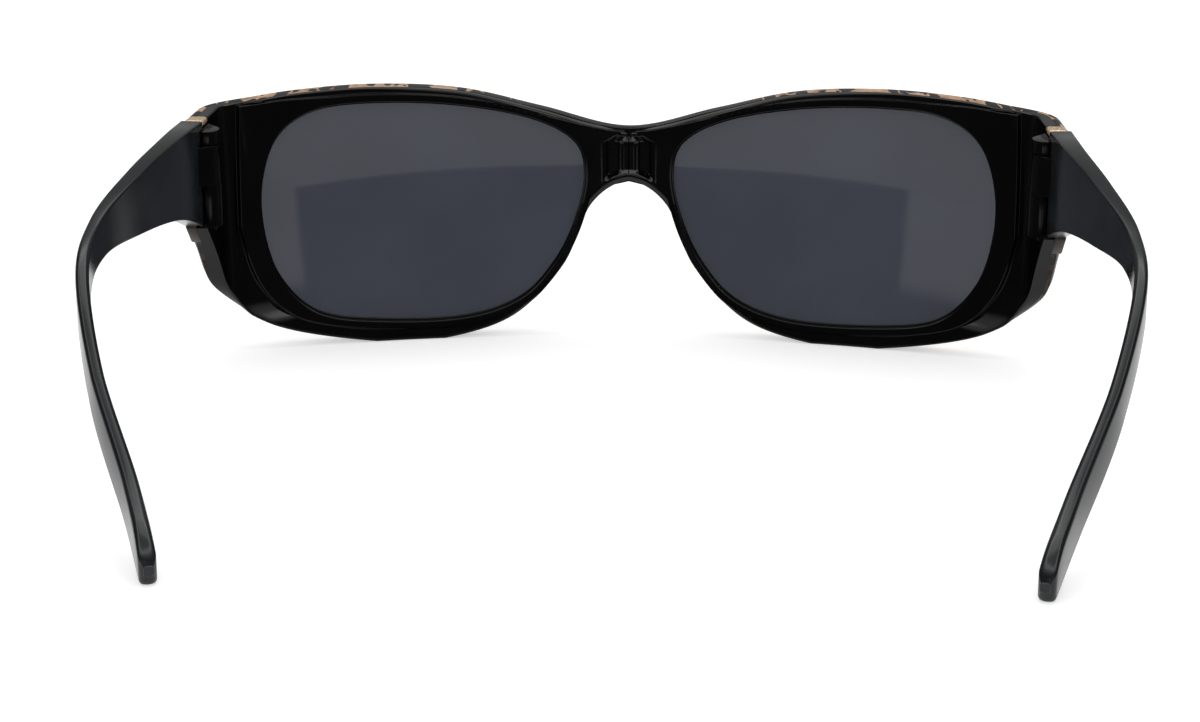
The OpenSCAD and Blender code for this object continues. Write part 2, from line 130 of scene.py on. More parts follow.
# Derived places
OPEN_IN = LENS_GAP / 2
OPEN_OUT = OPEN_IN + LENS_W
OPEN_MID = np.array([OPEN_IN + LENS_W / 2, RIM_LOW + LENS_H / 2])
WING_END = OPEN_OUT + WING_W
TOP_Z = RIM_LOW + LENS_H + BROW_H
BRIDGE_Z = TOP_Z - BRIDGE_DIP
NOSE_Z = BRIDGE_Z - BRIDGE_H
SEAM_Z = TOP_Z - SEAM_DIP
WING_Z = SEAM_Z - WING_H
WING_MID = np.array([OPEN_OUT + 0.74 * WING_W, WING_Z - 0.33 * WING_H])
PRINT_END = WING_END - TRIM_W - GLUE_GAP
RIM_END = OPEN_OUT + RIM_REACH
GROOVE_N1 = GROOVE_N0 + GROOVE_W
CORNER_S1 = PRINT_END - WALL_L
LENS_TURN = (CORNER_S1 - BRIDGE_FLAT - CORNER_R * WALL_ANGLE) / (BASE_R - CORNER_R)
CORNER_S0 = BRIDGE_FLAT + BASE_R * LENS_TURN
CORNER_P0 = np.array([BRIDGE_FLAT + BASE_R * math.sin(LENS_TURN), BASE_R * (1 - math.cos(LENS_TURN))])
CORNER_P1 = CORNER_P0 + CORNER_R * np.array(
    [math.sin(WALL_ANGLE) - math.sin(LENS_TURN), math.cos(LENS_TURN) - math.cos(WALL_ANGLE)])
WALL_DIR = np.array([math.cos(WALL_ANGLE), math.sin(WALL_ANGLE)])
HINGE_P = CORNER_P1 + (WING_END - CORNER_S1) * WALL_DIR
HINGE_TURN = WALL_ANGLE - math.pi / 2
AXIS_N = WING_T + AXIS_IN
AXIS_Y = BUTT_GAP / 2
KNUCKLE_Z2 = SEAM_Z - KNUCKLE_DROP
KNUCKLE_Z1 = KNUCKLE_Z2 - KNUCKLE_H
KNUCKLE_Z0 = WING_Z + KNUCKLE_FOOT
KNUCKLE_Z3 = SEAM_Z - FLANGE_T - KNUCKLE_HEAD

# Points of the lens opening, in halves of its width and height from its middle
OPENING = np.array([
    [-1, 0.33], [-0.93, 0.62], [-0.66, 0.825], [-0.2, 0.955], [0.3, 1], [0.66, 0.955], [0.89, 0.74],
    [0.99, 0.33], [0.985, -0.13], [0.89, -0.56], [0.66, -0.885], [0.25, -0.99], [-0.25, -0.985],
    [-0.6, -0.82], [-0.82, -0.48], [-0.95, -0.07]])
TURNS = len(OPENING)

# Mesh steps from each of these points to the next, and the steps of other meshes
FRONT_STEPS = [12, 10, 10, 10, 10, 24, 14, 14, 24, 14, 10, 10, 10, 10, 14, 32]
LENS_STEPS = 12
LENS_RINGS = 16
TEMPLE_STEPS = 16
TIP_STEPS = 30
ROUND_STEPS = 7
CYLINDER_STEPS = 64
FACE_STEPS = 14
JOINT_STEPS = 6
EDGE_STEPS = 8
PLATE_STEPS = 28
TOP_STEPS = 12

# Stations at which the outline changes, from the bridge over the brow and the wing to the nose
U_BRIDGE = 1
U_BROW = 5
U_SEAM = 6
U_WING = 8
U_LOW = 9
U_ARCH = 15
U_NOSE = 15.5

# Stations at which fine forms begin or end: the rim's step, the thin print, the moulded line
# round the nose, and the fuller edges of the nose arch and the brow
U_STEP = 1.2
U_STEP_END = 14.4
U_THIN_END = 13.5
U_LINE = 12.8
U_ARCH_EDGE = 12.6
U_BROW_EDGE = 3.2

# Radius of the rear edge below, round the nose, over the bridge, on the brow and at the side
EDGE_R_LOW = 0.5
EDGE_R_ARCH = 1.3
EDGE_R_BRIDGE = 1.35
EDGE_R_BROW = 0.6
EDGE_R_SIDE = 0.25

# Width of the raised rim at stations below the wing
RIM_LINE_U = [8, 8.5, 9, 9.5, 10, 10.5, 11, 12]
RIM_LINE_W = [5.34, 4.4, 4.2, 4.2, 3.5, 2.2, 1.5, 1.35]

# Profiles, each point with its place outwards in mm
# Front edge of the print round the opening, with the depth behind its face
PRINT_LIP = [(0, 0.7), (0.08, 0.4), (0.25, 0.15), (0.8, 0)]
# Step down from the raised rim, with the share of its height
STEP = [(0.5, 0), (0.4, 0.03), (0.32, 0.13), (0.27, 0.35), (0.25, 0.68), (0.21, 0.86), (0.13, 0.96),
        (0, 1)]
STEP_W = 0.62
# Narrow recess between the raised rim and the lens, with the depth below the rim
LIP = [(1.3, 0), (0.8, 0), (0.5, 0), (0.44, 0.012), (0.405, 0.045), (0.39, 0.1), (0.385, 0.66),
       (0.375, 0.7), (0.35, 0.72), (0.12, 0.72), (0.05, 0.735), (0.01, 0.78), (0, 0.85)]
# Where the raised rim's flat top starts, out from the opening, and ends, in from its step
LIP_W = 1.6
TOP_IN = 0.12
# Moulded line inside the outline, with its depth
GROOVE = [(0.1, 0), (0.2, 0.05), (0.3, 0.14), (0.42, 0.18), (0.54, 0.14), (0.64, 0.05), (0.74, 0)]

# Relief in the back of the bridge: depths, half widths from the middle and the margin round it
SADDLE_D = 0.5
SADDLE_HALF = 3.7
POCKET_D = 0.45
POCKET_IN = 1.6
POCKET_OUT = 4.0
RIB_H = 0.2
RIB_HALF = 0.9
SADDLE_MARGIN = 1.5

# How the bridge's lower and upper edge curve: mm per mm squared from the middle
ARCH_CURVE = 0.085
BROW_CURVE = 0.03

# Fillet bulge in the wing beside the hinge: its middle, half its size and its height
BULGE_S, BULGE_Z = 82.6, 32.2
BULGE_HALF_S, BULGE_HALF_Z = 2.4, 8.6
BULGE_H = 0.8

# Welding distance in metres, and what counts as zero
WELD = 2e-6
TINY = 1e-7


def smooth(t):
    """Smooth step from 0 to 1."""
    c = min(max(t, 0.0), 1.0)
    return c * c * (3 - 2 * c)


def mix(a, b, t):
    return a + (b - a) * t


def soft(t):
    """Even slope from 0 to 1 with softened ends."""
    return mix(min(max(t, 0.0), 1.0), smooth(t), 0.35)


def rising(value, start, length, ease=smooth):
    """Grows from 0 at start to 1 over that length."""
    return ease((value - start) / length)


def falling(value, end, length, ease=smooth):
    """Shrinks from 1 to 0 at end over that length."""
    return ease((end - value) / length)


def unit(v):
    return v / max(float(np.linalg.norm(v)), 1e-9)


def shares(count):
    """Even shares of the way, from 0 to 1."""
    return [i / count for i in range(count + 1)]


def stations(steps):
    """Stations of a run of spans that are cut into these numbers of steps."""
    return [k + i / count for k, count in enumerate(steps) for i in range(count)]


def bends(a, b, c, d):
    """Factors of t squared and t cubed in the next two."""
    return 2 * a - 5 * b + 4 * c - d, 3 * b - a - 3 * c + d


def blend(a, b, c, d, t):
    """Catmull-Rom point between b and c."""
    square, cube = bends(a, b, c, d)
    return 0.5 * (2 * b + (c - a) * t + square * t**2 + cube * t**3)


def blend_slope(a, b, c, d, t):
    square, cube = bends(a, b, c, d)
    return 0.5 * ((c - a) + 2 * square * t + 3 * cube * t**2)


def span(points, before, after, w):
    """Four neighbours of a place on an open run of points, and the share of the way along."""
    k = min(int(math.floor(w)), len(points) - 2)
    first = before if k == 0 else points[k - 1]
    last = points[k + 2] if k + 2 < len(points) else after
    return first, points[k], points[k + 1], last, w - k


def open_span(points, w):
    """The same, where the run goes straight on beyond its ends."""
    return span(points, 2 * points[0] - points[1], 2 * points[-1] - points[-2], w)


def opening_near(u):
    k = int(math.floor(u))
    return [OPENING[(k + i) % TURNS] for i in (-1, 0, 1, 2)] + [u - k]


def open_at(u):
    """Point of the lens opening at a station."""
    return OPEN_MID + blend(*opening_near(u)) * [LENS_W / 2, LENS_H / 2]


def open_normal(u):
    """Direction out of the lens opening at a station."""
    t = unit(blend_slope(*opening_near(u)) * [LENS_W, LENS_H])
    return np.array([-t[1], t[0]])


def low_z(end):
    """Height of the wing's lower end where the wing is cut at that place along."""
    return WING_Z + (WING_MID[1] - WING_Z) * (WING_END - end) / (WING_END - WING_MID[0])


def brow_line(end):
    """Points of the upper outline from the bridge to the wing's end."""
    return np.array([
        [0, BRIDGE_Z], [OPEN_IN + 0.13 * LENS_W, TOP_Z - 0.566 * BRIDGE_DIP],
        [OPEN_IN + 0.375 * LENS_W, TOP_Z - 0.145 * BRIDGE_DIP], [OPEN_IN + 0.64 * LENS_W, TOP_Z],
        [OPEN_IN + 0.886 * LENS_W, TOP_Z - 0.235 * SEAM_DIP],
        [OPEN_OUT + 0.28 * WING_W, TOP_Z - 0.94 * SEAM_DIP], [end, SEAM_Z]])


def low_line(end):
    """Points of the lower outline from the wing's end to the nose."""
    return np.array([
        [end, low_z(end)], WING_MID, [OPEN_OUT + 0.42 * WING_W, RIM_LOW + 0.19 * LENS_H],
        [OPEN_OUT - 0.0375 * LENS_W, RIM_LOW], [OPEN_IN + 0.655 * LENS_W, 0],
        [OPEN_IN + 0.44 * LENS_W, 0], [OPEN_IN + 0.22 * LENS_W, RIM_LOW],
        [OPEN_IN + 0.065 * LENS_W, RIM_LOW + 0.23 * LENS_H],
        [0.83 * OPEN_IN, RIM_LOW + 0.515 * LENS_H], [0, NOSE_Z]])


def brow_w(u):
    """Place on the brow line's points: one a station, and two beyond U_BROW."""
    return u - U_BRIDGE if u < U_BROW else U_BROW - U_BRIDGE + (u - U_BROW) * 2


def low_w(u):
    """Place on the lower line's points: two a station up to U_LOW and beyond U_ARCH, one between."""
    first = (min(u, U_LOW) - U_WING) * 2
    middle = min(max(u, U_LOW), U_ARCH) - U_LOW
    return first + middle + max(u - U_ARCH, 0) * 2


def edge_span(u, end):
    """Neighbours on the outline's line that station u lies on."""
    flip = np.array([-1, 1])
    if U_BRIDGE <= u <= U_SEAM:
        p = brow_line(end)
        return span(p, p[1] * flip, 2 * p[-1] - p[-2], brow_w(u))
    p = low_line(end)
    return span(p, 2 * p[0] - p[1], p[-2] * flip, low_w(u))


def in_middle(u):
    """Whether the station's section ends on the middle plane of the bridge."""
    return u < U_BRIDGE or u > U_NOSE


def outline(u, end):
    """Point of the outline at a station, for a layer that ends at that place along the wing."""
    if in_middle(u):
        t = ((u + TURNS if u < U_BRIDGE else u) - U_NOSE) / (TURNS + U_BRIDGE - U_NOSE)
        low, top = NOSE_Z + PRINT_EDGE_R + MIDDLE_MARGIN, BRIDGE_Z - PRINT_EDGE_R - MIDDLE_MARGIN
        return np.array([0.0, mix(low, top, t)])
    if U_SEAM < u < U_WING:
        top, low = np.array([end, SEAM_Z]), np.array([end, low_z(end)])
        return mix(top, low, (u - U_SEAM) / (U_WING - U_SEAM))
    q = blend(*edge_span(u, end))
    return np.array([q[0], max(q[1], 0.0)])


def edge_in(u, end):
    """Direction inwards from the outline."""
    if in_middle(u) or U_SEAM < u < U_WING:
        return np.zeros(2)
    if u == U_SEAM:
        return np.array([0.0, -1.0])
    if u == U_WING:
        return np.array([0.0, 1.0])
    t = unit(blend_slope(*edge_span(u, end)))
    return np.array([t[1], -t[0]])


def heading(s):
    """Angle of the front's face in plan, at a distance s along it."""
    if s < BRIDGE_FLAT:
        return 0.0
    if s < CORNER_S0:
        return (s - BRIDGE_FLAT) / BASE_R
    return LENS_TURN + (s - CORNER_S0) / CORNER_R if s < CORNER_S1 else WALL_ANGLE


def plan(s):
    """Point of the front's face in plan: flat bridge, base curve, corner and straight side wall."""
    a = heading(s)
    if s < BRIDGE_FLAT:
        return np.array([s, 0.0])
    if s < CORNER_S0:
        return np.array([BRIDGE_FLAT + BASE_R * math.sin(a), BASE_R * (1 - math.cos(a))])
    if s < CORNER_S1:
        turn = [math.sin(a) - math.sin(LENS_TURN), math.cos(LENS_TURN) - math.cos(a)]
        return CORNER_P0 + CORNER_R * np.array(turn)
    return CORNER_P1 + (s - CORNER_S1) * WALL_DIR


def to_metres(x, y, z):
    return (x / MM_PER_M, (y - DEPTH / 2) / MM_PER_M, z / MM_PER_M)


def place(q, n):
    """Point of the curved front: q is [along, up] on its face, n the depth behind it."""
    s, z = float(q[0]), float(q[1])
    a = heading(s)
    flat = rising(s, OPEN_OUT, CROWN_FADE * WING_W)
    crown = (z - OPEN_MID[1])**2 / (2 * BASE_R) * (1 - flat)
    p = plan(s) + (n + crown) * np.array([-math.sin(a), math.cos(a)])
    return to_metres(p[0], p[1], z)


def split_n(s):
    """Depth of the joint between the two layers of the solids."""
    return mix(PRINT_T, PRINT_WING_T, rising(s - OPEN_OUT, SPLIT_START, SPLIT_FADE * WING_W))


def seam_n(q, share, u):
    """Depth of the joint here: the print thins out towards the wing's lower edge."""
    low = rising(u, U_WING, 0.4) * falling(u, U_THIN_END, 1.0)
    return mix(split_n(q[0]), PRINT_LOW_T, low * smooth(1.4 * share))


def rim_share(a, o, u):
    """Share of the way from the opening to the outline at which the raised rim ends.

    It ends at RIM_END on the wing, leaves a ledge on the brow and follows RIM_LINE_W below.
    """
    if in_middle(u):
        return 0.5
    reach = float(np.linalg.norm(o - a))
    if u > U_WING:
        return min(float(np.interp(u, RIM_LINE_U, RIM_LINE_W)) / reach, 0.5)
    far = (RIM_END - a[0]) / (o[0] - a[0]) if o[0] > RIM_END else 1.0
    if u < U_SEAM:
        return min(1 - min(BROW_LEDGE / reach, BROW_LEDGE_MOST), far)
    return min(far, 1.0)


def rim_drop(u, reach):
    """Height of the step down from the raised rim: full beside the wide wing, small elsewhere."""
    if in_middle(u):
        return 0.0
    wing = (RIM_T - WING_T) * smooth(reach / RIM_W - 1.67)
    line = rising(u, U_STEP, 0.6) * falling(u, U_STEP_END, 1.2)
    return max(wing, RIM_STEP * line)


def new_mesh(name, verts, faces):
    mesh = bpy.data.meshes.new(name)
    mesh.from_pydata(verts, [], faces)
    mesh.validate()
    obj = bpy.data.objects.new(name, mesh)
    bpy.context.scene.collection.objects.link(obj)
    return obj


def apply_modifiers(obj):
    bpy.context.view_layer.update()
    graph = bpy.context.evaluated_depsgraph_get()
    mesh = bpy.data.meshes.new_from_object(obj.evaluated_get(graph))
    obj.modifiers.clear()
    obj.data = mesh


def round_edges(obj, width, segments):
    mod = obj.modifiers.new("round", "BEVEL")
    mod.width = width / MM_PER_M
    mod.segments = segments
    apply_modifiers(obj)


def cut(obj, tool):
    mod = obj.modifiers.new("cut", "BOOLEAN")
    mod.operation = "DIFFERENCE"
    mod.solver = "EXACT"
    mod.object = tool
    apply_modifiers(obj)
    bpy.data.objects.remove(tool)


def shade(obj, degrees):
    obj.data.polygons.foreach_set("use_smooth", [True] * len(obj.data.polygons))
    obj.data.set_sharp_from_angle(angle=math.radians(degrees))


def outward(obj):
    """Welds a mesh, takes out faces on the middle plane and turns all faces outwards."""
    bm = bmesh.new()
    bm.from_mesh(obj.data)
    bmesh.ops.remove_doubles(bm, verts=bm.verts, dist=WELD)
    middle = [f for f in bm.faces if all(abs(v.co.x) < TINY for v in f.verts)]
    bmesh.ops.delete(bm, geom=middle, context="FACES")
    bmesh.ops.dissolve_degenerate(bm, edges=bm.edges, dist=TINY)
    bmesh.ops.recalc_face_normals(bm, faces=bm.faces)
    bm.to_mesh(obj.data)
    bm.free()


def mirrored(verts, faces):
    """Points and faces together with their mirror image on the other side."""
    n = len(verts)
    other = [(-x, y, z) for x, y, z in verts]
    return verts + other, faces + [tuple(n + i for i in reversed(f)) for f in faces]


def flipped(obj, name):
    """Mirror image of a piece on the other side."""
    mesh = obj.data.copy()
    mesh.transform(Matrix.Scale(-1, 4, Vector((1, 0, 0))))
    mesh.flip_normals()
    other = bpy.data.objects.new(name, mesh)
    bpy.context.scene.collection.objects.link(other)
    return other


def ring_faces(rings, points, closed):
    """Faces between neighbouring rings of points, and from the last ring to the first if closed."""
    last = rings if closed else rings - 1
    faces = []
    for i in range(last):
        i2 = (i + 1) % rings
        for j in range(points):
            j2 = (j + 1) % points
            faces.append((i * points + j, i * points + j2, i2 * points + j2, i2 * points + j))
    return faces


def capped(rings, points, turned=False):
    """Faces of a tube of rings with both ends closed; turned lists the ends the other way round."""
    ends = [tuple(range(points)), tuple(range((rings - 1) * points, rings * points))]
    ends[1 if turned else 0] = ends[1 if turned else 0][::-1]
    return ring_faces(rings, points, False) + ends


def solid_mesh(name, verts, faces):
    obj = new_mesh(name, verts, faces)
    outward(obj)
    return obj


def front_band(name, section):
    """Both halves of a layer of the front, from its section at each station."""
    rings = [section(u) for u in stations(FRONT_STEPS)]
    verts = [place(q, n) for ring in rings for q, n in ring]
    verts = [(0.0 if abs(x) < TINY else x, y, z) for x, y, z in verts]
    faces = ring_faces(len(rings), len(rings[0]), True)
    return solid_mesh(name, *mirrored(verts, faces))


def joint_line(b, o, u, offset):
    """Joint between the layers from the rim b to the outline o, half a glue gap to one side."""
    line = [(mix(b, o, t), t) for t in shares(JOINT_STEPS)]
    return [(q, seam_n(q, t, u) + offset) for q, t in line]


def print_section(u):
    """Section of the printed layer, round from the lens groove."""
    a, na, r = open_at(u), open_normal(u), PRINT_EDGE_R
    o, e = outline(u, PRINT_END), edge_in(u, PRINT_END)
    b = mix(a, o, rim_share(a, o, u))
    f = o + e * r
    lip = [(a, GROOVE_N0)] + [(a + na * d, n) for d, n in PRINT_LIP]
    face = [(mix(b, f, t), 0) for t in shares(FACE_STEPS)]
    angles = np.linspace(0.25, math.pi / 2, 6)
    edge = [(o + e * r * (1 - math.sin(t)), r * (1 - math.cos(t))) for t in angles]
    inner = joint_line(b, o, u, -GLUE_GAP / 2)[::-1]
    groove = [(a + na * GROOVE_D, PRINT_T - GLUE_GAP / 2), (a + na * GROOVE_D, GROOVE_N0)]
    return lip + face + edge + inner + groove


def bridge_relief(q):
    """Depth of the saddle moulded in the back of the bridge, with its pockets and middle rib."""
    s, z = abs(float(q[0])), float(q[1])
    arch = NOSE_Z - ARCH_CURVE * s * s
    top = BRIDGE_Z + BROW_CURVE * s * s - SADDLE_MARGIN
    window = falling(z, top, 1.1, soft) * rising(z - arch, SADDLE_MARGIN, 1.0, soft)
    saddle = SADDLE_D * (1 - rising(s, SADDLE_HALF, 1.0, soft))
    pocket = POCKET_D * rising(s, POCKET_IN, 0.5, soft) * falling(s, POCKET_OUT, 0.5, soft)
    rib = RIB_H * (1 - rising(s, RIB_HALF, 0.5, soft))
    return window * (saddle + pocket - rib)


def wing_relief(q):
    """Height of the long fillet bulge in the wing beside the hinge."""
    s, z = float(q[0]), float(q[1])
    across = smooth(1 - ((s - BULGE_S) / BULGE_HALF_S)**2)
    return BULGE_H * across * smooth(2.2 * (1 - ((z - BULGE_Z) / BULGE_HALF_Z)**2))


def edge_radius(u):
    """Rounding of the outline's rear edge: fuller round the nose and over the bridge."""
    if u > U_WING:
        return mix(EDGE_R_LOW, EDGE_R_ARCH, rising(u, U_ARCH_EDGE, 1.2))
    near = mix(EDGE_R_BRIDGE, EDGE_R_BROW, rising(u, U_BRIDGE, 2.2))
    return mix(near, EDGE_R_SIDE, rising(u, U_BROW_EDGE, 1.2))


def arc_edge(o, e, r, back, count):
    """Rounded edge of radius r between the outline's side and the face at depth back."""
    points = []
    for i in range(count + 1):
        a = math.pi / 2 * i / count
        points.append((o + e * r * (1 - math.cos(a)), back - r * (1 - math.sin(a))))
    return points


def rear_face(u, f, b, inner, way, drop):
    """Rear face from the rounded edge f to the lip: moulded line, plate, step at b and rim top.

    Where there is little room between f and b, the step narrows and the line is left out.
    """
    back = RIM_T - drop
    room = max(float((f - b) @ way), 0.1)
    fit = min(1.0, 0.6 * room / STEP_W)
    line = rising(u, U_LINE, 0.8) * falling(u, U_NOSE + 0.02, 0.05) * smooth(room / 0.8 - 1.6)
    seam = [(f - way * min(d, 0.3 * room), back - line * depth) for d, depth in GROOVE]
    plate = [(mix(seam[-1][0], b + way * STEP_W * fit, t), back) for t in shares(PLATE_STEPS)[1:]]
    step = [(b + way * d * fit, back + drop * share) for d, share in STEP]
    top = [(mix(b - way * TOP_IN, inner, t), RIM_T) for t in shares(TOP_STEPS)]
    return seam + plate + step + top


def frame_section(u):
    """Section of the black layer, round from the lens groove."""
    a, na = open_at(u), open_normal(u)
    o, e = outline(u, WING_END), edge_in(u, WING_END)
    b = mix(a, o, rim_share(a, o, u))
    reach = float(np.linalg.norm(o - a))
    drop = rim_drop(u, reach)
    r = min(edge_radius(u), 0.45 * reach)
    deep = a + na * GROOVE_D
    groove = [(a, GROOVE_N1), (deep, GROOVE_N1), (deep, PRINT_T + GLUE_GAP / 2)]
    joint = joint_line(b, o, u, GLUE_GAP / 2)
    edge = arc_edge(o, e, r, RIM_T - drop, EDGE_STEPS)
    rear = rear_face(u, o + e * r, b, a + na * LIP_W, (o - a) / reach, drop)
    rear = [(q, n - bridge_relief(q) + wing_relief(q)) for q, n in rear]
    lip = [(a + na * d, RIM_T - depth) for d, depth in LIP]
    return groove + joint + edge + rear + lip


def cylinder(name, radius, z0, z1, centre):
    """Upright cylinder in millimetres."""
    verts = []
    for z in (z0, z1):
        for i in range(CYLINDER_STEPS):
            t = 2 * math.pi * i / CYLINDER_STEPS
            verts.append(to_metres(centre[0] + radius * math.cos(t), centre[1] + radius * math.sin(t), z))
    return solid_mesh(name, verts, capped(2, CYLINDER_STEPS))


def hinge_point(x, y):
    """Plan point from the hinge's own frame: +Y back along the wall, -X inwards."""
    c, s = math.cos(HINGE_TURN), math.sin(HINGE_TURN)
    return HINGE_P + np.array([c * x - s * y, s * x + c * y])


AXIS = hinge_point(-AXIS_N, AXIS_Y)


def prism(name, outline_points, z0, z1):
    """Upright prism over plan points of the hinge's frame."""
    plan_points = [hinge_point(x, y) for x, y in outline_points]
    verts = [to_metres(p[0], p[1], z) for z in (z0, z1) for p in plan_points]
    return solid_mesh(name, verts, capped(2, len(plan_points)))


def knuckle(name, z0, z1, side):
    """Knuckle barrel with the web that carries it, on the front's side (-1) or the temple's (1)."""
    r, root, far = KNUCKLE_R, -WING_T + WEB_SINK, -AXIS_N - KNUCKLE_R

    def at(x, y):
        return x, AXIS_Y + side * y

    turns, steps = np.linspace(math.pi, 0, 25), np.linspace(0.06, 1, 16)
    barrel = [at(-AXIS_N + r * math.cos(t), -r * math.sin(t)) for t in turns]
    back = [at(-AXIS_N + r, 0.2), at(root, WEB_FOOT), at(root, WEB_REACH)]
    web = [at(mix(root, far, smooth(t)), mix(WEB_REACH, WEB_FOOT, t)) for t in steps]
    obj = prism(name, barrel + back + web, z0, z1)
    round_edges(obj, KNUCKLE_ROUND, 4)
    return obj


def clear_hinge(obj, side, *levels):
    """Cuts room for the turning knuckles round a hinge's axis."""
    for z0, z1 in levels:
        cut(obj, cylinder("tool", KNUCKLE_R + TURN_GAP, z0, z1, (side * AXIS[0], AXIS[1])))


def lens_sheet(name, n0, n1):
    """One curved lens sheet as fine rings round the middle of its opening."""
    rim = [open_at(u) + open_normal(u) * LENS_BITE for u in stations([LENS_STEPS] * TURNS)]
    ring_shares = shares(LENS_RINGS)[1:]
    verts, faces = [], []
    count = len(rim)
    for n in (n0, n1):
        verts.append(place(OPEN_MID, n))
        verts += [place(mix(OPEN_MID, q, f), n) for f in ring_shares for q in rim]
    half = 1 + LENS_RINGS * count
    for base in (0, half):
        for i in range(count):
            i2 = (i + 1) % count
            faces.append((base, base + 1 + i, base + 1 + i2))
            for k in range(LENS_RINGS - 1):
                a, b = base + 1 + k * count, base + 1 + (k + 1) * count
                faces.append((a + i, b + i, b + i2, a + i2))
    last = 1 + (LENS_RINGS - 1) * count
    for i in range(count):
        i2 = (i + 1) % count
        faces.append((last + i, half + last + i, half + last + i2, last + i2))
    return solid_mesh(name, verts, faces)


# Where a temple starts, and how far it runs back and drops
TEMPLE_Y0 = HINGE_P[1] + BUTT_GAP * math.sin(WALL_ANGLE)
TEMPLE_X0 = HINGE_P[0] + BUTT_GAP * math.cos(WALL_ANGLE)
REACH = DEPTH - TEMPLE_Y0
TIP_FOOT = 0.34 * TIP_H
DROP = TEMPLE_Z - TIP_FOOT


def route_point(out, back, down):
    """Point of a temple's route from shares of its bow or inward lean, its reach and its drop."""
    x = TEMPLE_X0 + (out * TEMPLE_BOW if out > 0 else out * TIP_IN)
    return [x, TEMPLE_Y0 + back * REACH, TEMPLE_Z - down * DROP]


# Route of a temple's outer face, and its height and thickness at each of these points
ROUTE = np.array([
    [TEMPLE_X0, TEMPLE_Y0, (SEAM_Z + WING_Z) / 2 + 0.2],
    route_point(0.07, 0.16, 0), route_point(0.5, 0.315, 0), route_point(0.965, 0.464, 0.05),
    route_point(0.93, 0.596, 0.17), route_point(0.2, 0.737, 0.486), route_point(-0.54, 0.868, 0.834),
    route_point(-1, 1, 1)])
SIZES = np.array([
    [WING_H - 0.4, WING_T], [0.73 * WING_H, 0.87 * WING_T], [0.53 * WING_H, TEMPLE_T + 0.7],
    [1.12 * TEMPLE_H, TEMPLE_T + 0.1], [TEMPLE_H, TEMPLE_T], [mix(TEMPLE_H, TIP_H, 0.2), TEMPLE_T],
    [mix(TEMPLE_H, TIP_H, 0.8), mix(TEMPLE_T, TIP_T, 0.6)], [TIP_H, TIP_T]])
SPANS = len(ROUTE) - 1


def tip_share(d, length, least=0.2):
    """Share of the full size at a distance from the tip, for an elliptic end of that length."""
    return 1.0 if d > length else math.sqrt(max(1 - (1 - d / length)**2, least**2))


def rounded(w, h, r):
    """Rectangle with rounded corners, from x = 0 to w and centred in height."""
    points = []
    for cx, cy, start in ((1, 1, 0), (0, 1, 90), (0, 0, 180), (1, 0, 270)):
        for a in np.linspace(0, 90, ROUND_STEPS):
            t = math.radians(start + a)
            x = r + cx * (w - 2 * r) + r * math.cos(t)
            points.append((x, (cy - 0.5) * (h - 2 * r) + r * math.sin(t)))
    return points


def temple_ring(w):
    """Section of the temple at place w on its route, in metres."""
    p, g = blend(*open_span(ROUTE, w)), blend_slope(*open_span(ROUTE, w))
    height, thick = blend(*open_span(SIZES, w))
    flat = np.array([g[0], g[1]])
    t = WALL_DIR if w == 0 else unit(flat)
    rise = g[2] / float(np.linalg.norm(flat)) * smooth(w / 2) * smooth(SPANS - w)
    up = unit(np.array([-rise * t[0], -rise * t[1], 1]))
    far = float(np.linalg.norm(p - ROUTE[-1])) if w > SPANS - 1.5 else math.inf
    top, low = tip_share(far, TIP_TOP_L), tip_share(far, TIP_FOOT)
    side = tip_share(far, TIP_SIDE_L, TIP_SIDE_LEAST)
    r = mix(TEMPLE_EDGE_R, 0.4 * thick, rising(w, 2.2, 1.6))
    ring = []
    for x, y in rounded(thick, height, r):
        x, y = thick / 2 + (x - thick / 2) * side, y * (top if y > 0 else low)
        c = p + np.array([-t[1], t[0], 0]) * x + up * y
        ring.append(to_metres(c[0], c[1], max(c[2], 0.0)))
    return ring


def temple_shell(name):
    """Temple arm, with finer sections towards the tip."""
    ws = stations([TEMPLE_STEPS] * (SPANS - 1))
    ws += [SPANS - (1 - t)**1.6 for t in shares(TIP_STEPS)]
    rings = [temple_ring(w) for w in ws]
    verts = [p for ring in rings for p in ring]
    return solid_mesh(name, verts, capped(len(rings), len(rings[0]), True))


def trim_shell(name):
    """Gold cap of a wing: a strip on its outer face with a flange over the top, softly rounded."""
    r, lip, under = PRINT_EDGE_R, FLANGE_R, SEAM_Z - FLANGE_T
    inner = -PRINT_WING_T + GLUE_GAP / 2
    crown = [(-r + r * math.cos(t), SEAM_Z - r + r * math.sin(t)) for t in np.linspace(0, math.pi / 2, 9)]
    nose = [(-WING_T + lip - lip * math.sin(t), SEAM_Z - lip + lip * math.cos(t))
            for t in np.linspace(0, math.pi / 2, 6)]
    rings = []
    for y in (0.0, -TRIM_W):
        low = low_z(WING_END + y)
        section = [(0, low)] + crown + nose + [(-WING_T, under), (inner, under), (inner, low)]
        rings.append([(hinge_point(x, y), z) for x, z in section])
    verts = [to_metres(p[0], p[1], z) for ring in rings for p, z in ring]
    obj = solid_mesh(name, verts, capped(2, len(rings[0])))
    round_edges(obj, TRIM_ROUND, 3)
    return obj


# Materials
LENS_LEAN = math.radians(9.5)
FRAME_LEAN = math.radians(22)
LENS_COLOUR = (0.082, 0.09, 0.114)
FRAME_COLOUR = (0.0015, 0.0015, 0.0017)
TEMPLE_COLOUR = (0.0092, 0.0105, 0.0116)

# Where a change in the print or the gold starts and ends, in metres from the middle or the floor; the low
# changes are painted shade, on the print partly the frame's own black
PRINT_CENTRE_X = (0.026, 0.014)
PRINT_BLACK_AND_SHADE_X = (0.068, 0.071)
PRINT_BLACK_AND_SHADE_Z = (0.034, 0.027)
GOLD_SHADE_Z = (0.034, 0.029)


def material(name):
    mat = bpy.data.materials.new(name)
    mat.use_nodes = True
    tree = mat.node_tree
    return mat, tree, tree.nodes["Principled BSDF"]


